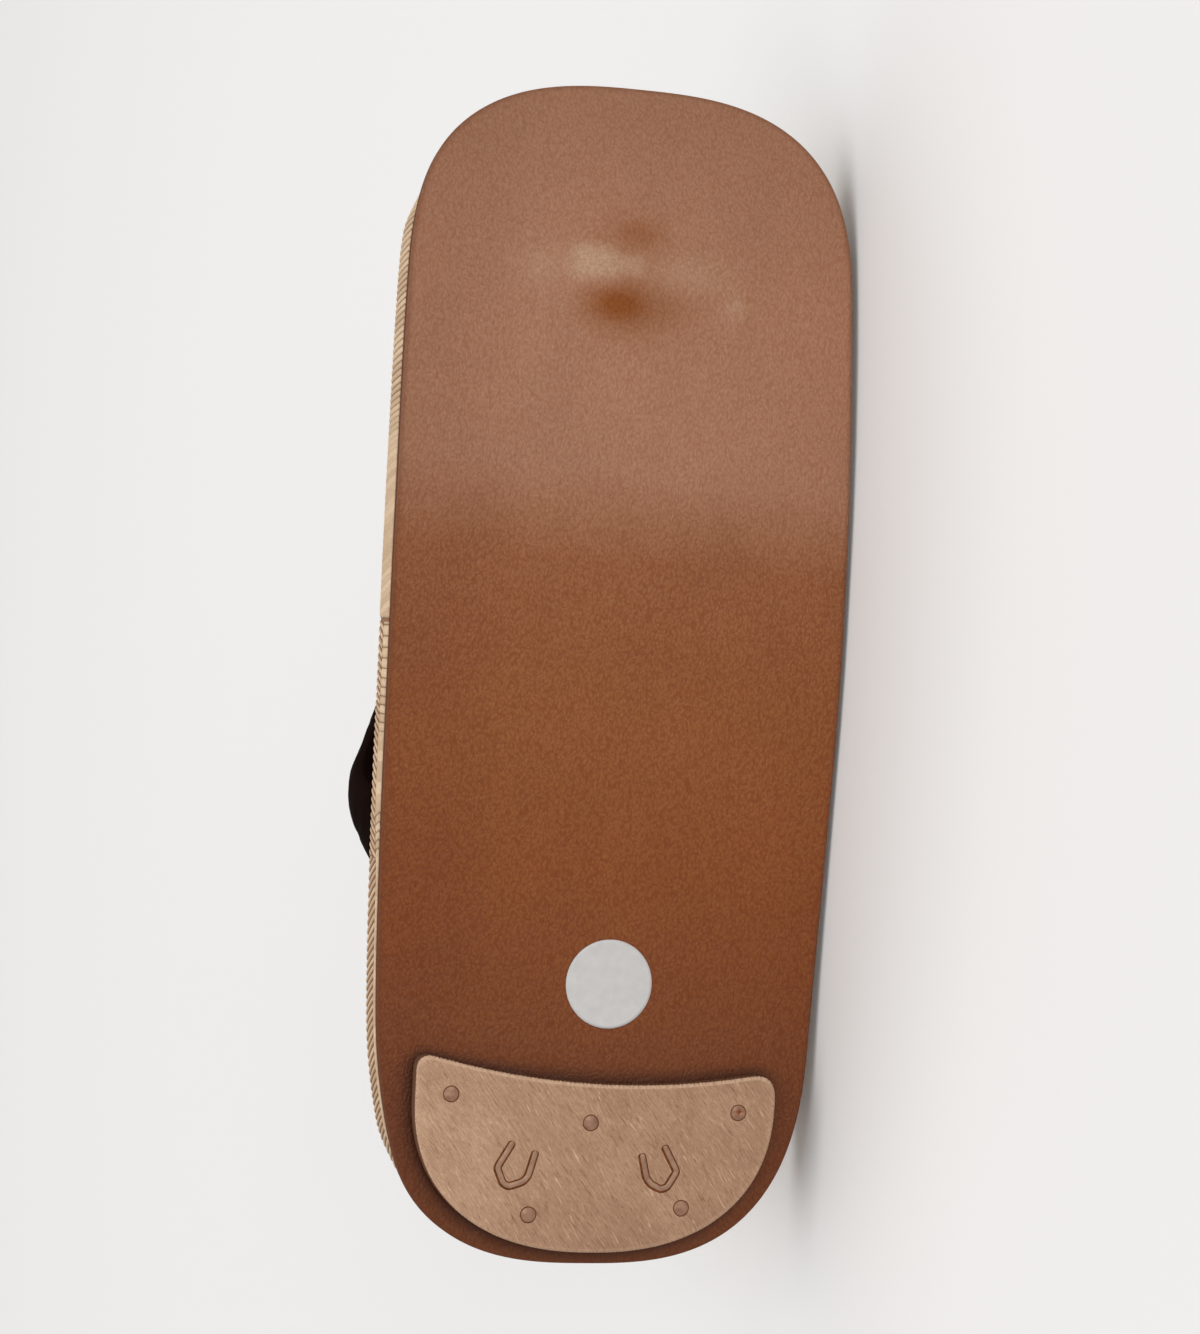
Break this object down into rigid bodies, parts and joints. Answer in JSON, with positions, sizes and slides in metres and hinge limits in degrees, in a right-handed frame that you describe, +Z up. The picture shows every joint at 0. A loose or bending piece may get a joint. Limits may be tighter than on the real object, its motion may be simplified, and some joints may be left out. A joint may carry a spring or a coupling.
{
  "type": "setta sandal",
  "caption": "Flat plaited sandal with a brown leather outsole, a nailed half-moon heel lift and a padded black thong strap, lying on its side.",
  "frame": {"origin": "centre of the bounding box at its bottom, on the floor that the sandal lies on", "axes": "+X towards the toe, along the sole; +Z up from the floor, towards the inner side of the foot; the outsole's face looks to -Y and a little up"},
  "size_m": [0.2578, 0.0657, 0.1028],
  "materials": {
    "rush": "plaited, matt",
    "brown_leather": "fine grain, satin",
    "raw_leather": "raw, brushed and scratched",
    "nail_metal": "dull copper brown",
    "plate_iron": "dull, stained brown",
    "black_strap": "matt black, padded"
  },
  "bodies": {
    "root": {"woven_top": "rush", "leather_outsole": "brown_leather", "heel_lift": "raw_leather", "heel_nail_1": "nail_metal", "heel_nail_2": "nail_metal", "heel_nail_3": "nail_metal", "heel_nail_4": "nail_metal", "heel_nail_5": "nail_metal", "heel_staple_1": "plate_iron", "heel_staple_2": "plate_iron", "strap": "black_strap"}
  },
  "joints": []
}
